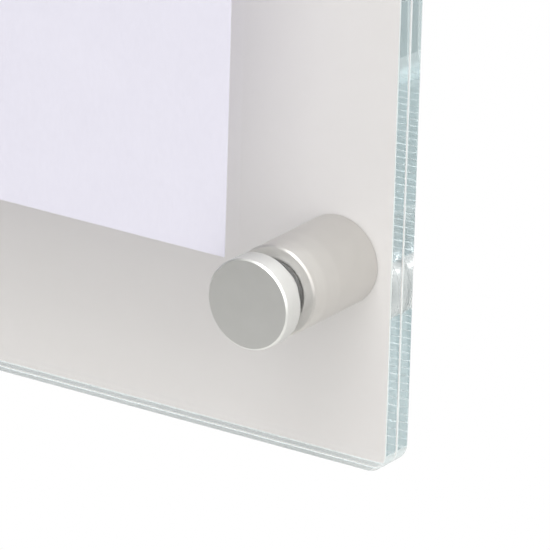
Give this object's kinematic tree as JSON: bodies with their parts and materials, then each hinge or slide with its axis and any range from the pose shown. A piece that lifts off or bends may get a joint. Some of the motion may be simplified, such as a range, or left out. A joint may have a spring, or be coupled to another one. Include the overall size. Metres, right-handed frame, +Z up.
{
  "type": "standoff poster panel",
  "caption": "Wall panel of two clear acrylic plates that hold a sheet of paper between them on round aluminium standoffs with screw caps.",
  "frame": {"origin": "on the wall plane, which the four barrels' rear faces share, behind the middle of the plates", "axes": "+X to the right, +Y into the wall, +Z up"},
  "size_m": [0.2666, 0.0574, 0.3174],
  "materials": {
    "clear_acrylic": "polished, clear, pale aqua at the edges",
    "poster_paper": "matt blank paper, faintly lavender",
    "satin_aluminium": "fine bead-blasted and clear anodised",
    "zinc_steel": "zinc plated",
    "washer_rubber": "soft grey, matt",
    "plug_nylon": "moulded grey nylon"
  },
  "bodies": {
    "panel": {"front_plate": "clear_acrylic", "poster_sheet": "poster_paper", "rear_plate": "clear_acrylic", "barrel_top_left": "satin_aluminium", "barrel_washer_top_left": "washer_rubber", "wall_screw_top_left": "zinc_steel", "wall_plug_top_left": "plug_nylon", "barrel_top_right": "satin_aluminium", "barrel_washer_top_right": "washer_rubber", "wall_screw_top_right": "zinc_steel", "wall_plug_top_right": "plug_nylon", "barrel_bottom_left": "satin_aluminium", "barrel_washer_bottom_left": "washer_rubber", "wall_screw_bottom_left": "zinc_steel", "wall_plug_bottom_left": "plug_nylon", "barrel_bottom_right": "satin_aluminium", "barrel_washer_bottom_right": "washer_rubber", "wall_screw_bottom_right": "zinc_steel", "wall_plug_bottom_right": "plug_nylon"},
    "cap_slide_top_left": {"cap_washer_top_left": "washer_rubber"},
    "cap_screw_top_left": {"cap_top_left": "satin_aluminium", "cap_stud_top_left": "zinc_steel"},
    "cap_slide_top_right": {"cap_washer_top_right": "washer_rubber"},
    "cap_screw_top_right": {"cap_top_right": "satin_aluminium", "cap_stud_top_right": "zinc_steel"},
    "cap_slide_bottom_left": {"cap_washer_bottom_left": "washer_rubber"},
    "cap_screw_bottom_left": {"cap_bottom_left": "satin_aluminium", "cap_stud_bottom_left": "zinc_steel"},
    "cap_slide_bottom_right": {"cap_washer_bottom_right": "washer_rubber"},
    "cap_screw_bottom_right": {"cap_bottom_right": "satin_aluminium", "cap_stud_bottom_right": "zinc_steel"}
  },
  "joints": [
    {"name": "cap_travel_top_left", "type": "slide", "parent": "panel", "child": "cap_slide_top_left", "axis": [0, -1, 0], "range_m": [0, 0.00847]},
    {"name": "cap_turn_top_left", "type": "hinge", "parent": "cap_slide_top_left", "child": "cap_screw_top_left", "pos_m": [-0.10795, -0.0259, 0.13335], "axis": [0, -1, 0], "range_deg": [0, 2160]},
    {"name": "cap_travel_top_right", "type": "slide", "parent": "panel", "child": "cap_slide_top_right", "axis": [0, -1, 0], "range_m": [0, 0.00847]},
    {"name": "cap_turn_top_right", "type": "hinge", "parent": "cap_slide_top_right", "child": "cap_screw_top_right", "pos_m": [0.10795, -0.0259, 0.13335], "axis": [0, -1, 0], "range_deg": [0, 2160]},
    {"name": "cap_travel_bottom_left", "type": "slide", "parent": "panel", "child": "cap_slide_bottom_left", "axis": [0, -1, 0], "range_m": [0, 0.00847]},
    {"name": "cap_turn_bottom_left", "type": "hinge", "parent": "cap_slide_bottom_left", "child": "cap_screw_bottom_left", "pos_m": [-0.10795, -0.0259, -0.13335], "axis": [0, -1, 0], "range_deg": [0, 2160]},
    {"name": "cap_travel_bottom_right", "type": "slide", "parent": "panel", "child": "cap_slide_bottom_right", "axis": [0, -1, 0], "range_m": [0, 0.00847]},
    {"name": "cap_turn_bottom_right", "type": "hinge", "parent": "cap_slide_bottom_right", "child": "cap_screw_bottom_right", "pos_m": [0.10795, -0.0259, -0.13335], "axis": [0, -1, 0], "range_deg": [0, 2160]}
  ],
  "couplings": [
    {"joint": "cap_turn_top_left", "follows": "cap_travel_top_left", "rad_per_m": 4452.7},
    {"joint": "cap_turn_top_right", "follows": "cap_travel_top_right", "rad_per_m": 4452.7},
    {"joint": "cap_turn_bottom_left", "follows": "cap_travel_bottom_left", "rad_per_m": 4452.7},
    {"joint": "cap_turn_bottom_right", "follows": "cap_travel_bottom_right", "rad_per_m": 4452.7}
  ]
}
